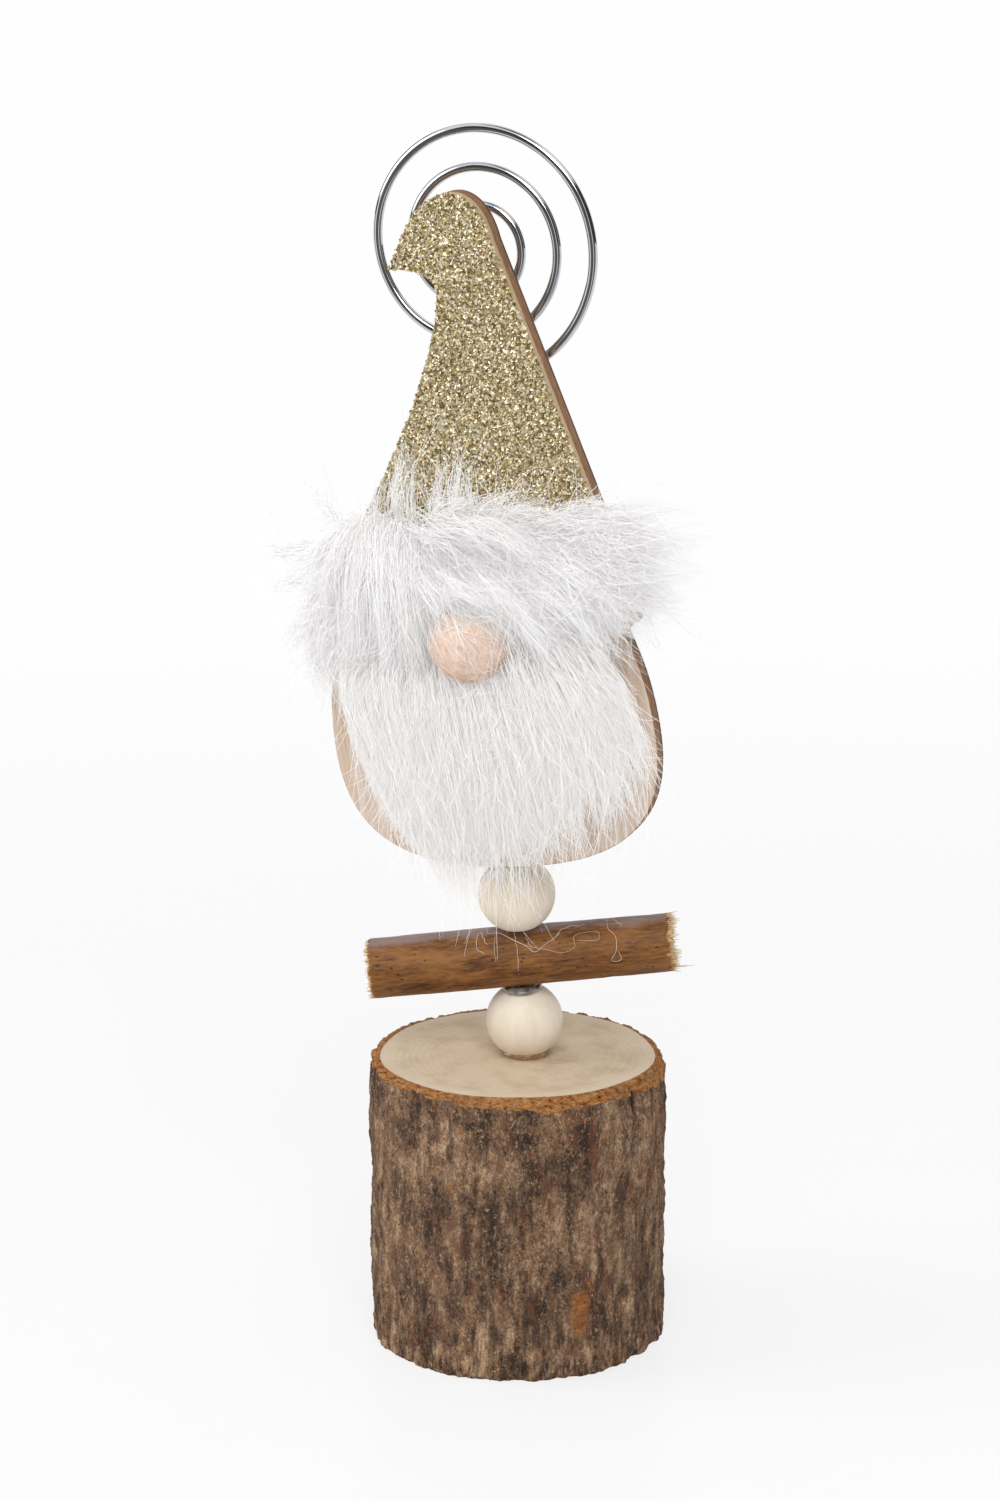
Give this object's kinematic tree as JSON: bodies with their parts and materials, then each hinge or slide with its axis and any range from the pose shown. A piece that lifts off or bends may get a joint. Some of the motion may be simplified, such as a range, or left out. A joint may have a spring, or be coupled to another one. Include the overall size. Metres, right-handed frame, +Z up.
{
  "type": "gnome photo holder",
  "caption": "Desk photo holder: round log base, leaning chromed wire with a flat spiral clip, wooden beads, a cross twig and a plywood gnome with glitter hat, fur brim, fur beard and felt nose.",
  "frame": {"origin": "centre of the log's flat foot", "axes": "+Z up, the gnome faces -Y, +X to the right of someone who looks at the gnome"},
  "size_m": [0.0745, 0.0539, 0.2213],
  "materials": {
    "sapwood": "sawn across the grain, bare, matt",
    "bark": "rough natural bark, matt",
    "chrome_wire": "bright chromed steel wire",
    "amber_glue": "set glue, glossy",
    "clear_glue": "set hot glue, glossy and cloudy",
    "bead_wood": "turned pale wood, satin",
    "twig_wood": "torn fibres, matt",
    "twig_bark": "smooth thin bark, low sheen",
    "plywood": "bare plywood with laser-browned edges",
    "gold_glitter": "coarse gold glitter on a foam sheet",
    "knit_backing": "knitted backing",
    "white_pile": "long-haired plush pile",
    "peach_felt": "needled felt"
  },
  "bodies": {
    "holder": {"log_wood": "sapwood", "log_bark": "bark", "photo_clip_wire": "chrome_wire", "stem_glue": "amber_glue", "lower_bead": "bead_wood", "lower_bead_glue": "amber_glue", "twig_core": "twig_wood", "twig_bark": "twig_bark", "twig_glue": "clear_glue", "gnome_board": "plywood", "glitter_sheet": "gold_glitter", "wire_glue_lower": "clear_glue", "wire_glue_upper": "clear_glue", "brim_backing": "knit_backing", "brim_fur": "white_pile", "beard_backing": "knit_backing", "beard_fur": "white_pile", "nose": "peach_felt", "nose_glue": "clear_glue"},
    "upper_bead": {"upper_bead": "bead_wood"}
  },
  "joints": [
    {"name": "upper_bead_spin", "type": "hinge", "parent": "holder", "child": "upper_bead", "pos_m": [0.00065, -0.00216, 0.08435], "axis": [-0.0361, -0.0697, 0.9969], "continuous": true}
  ]
}
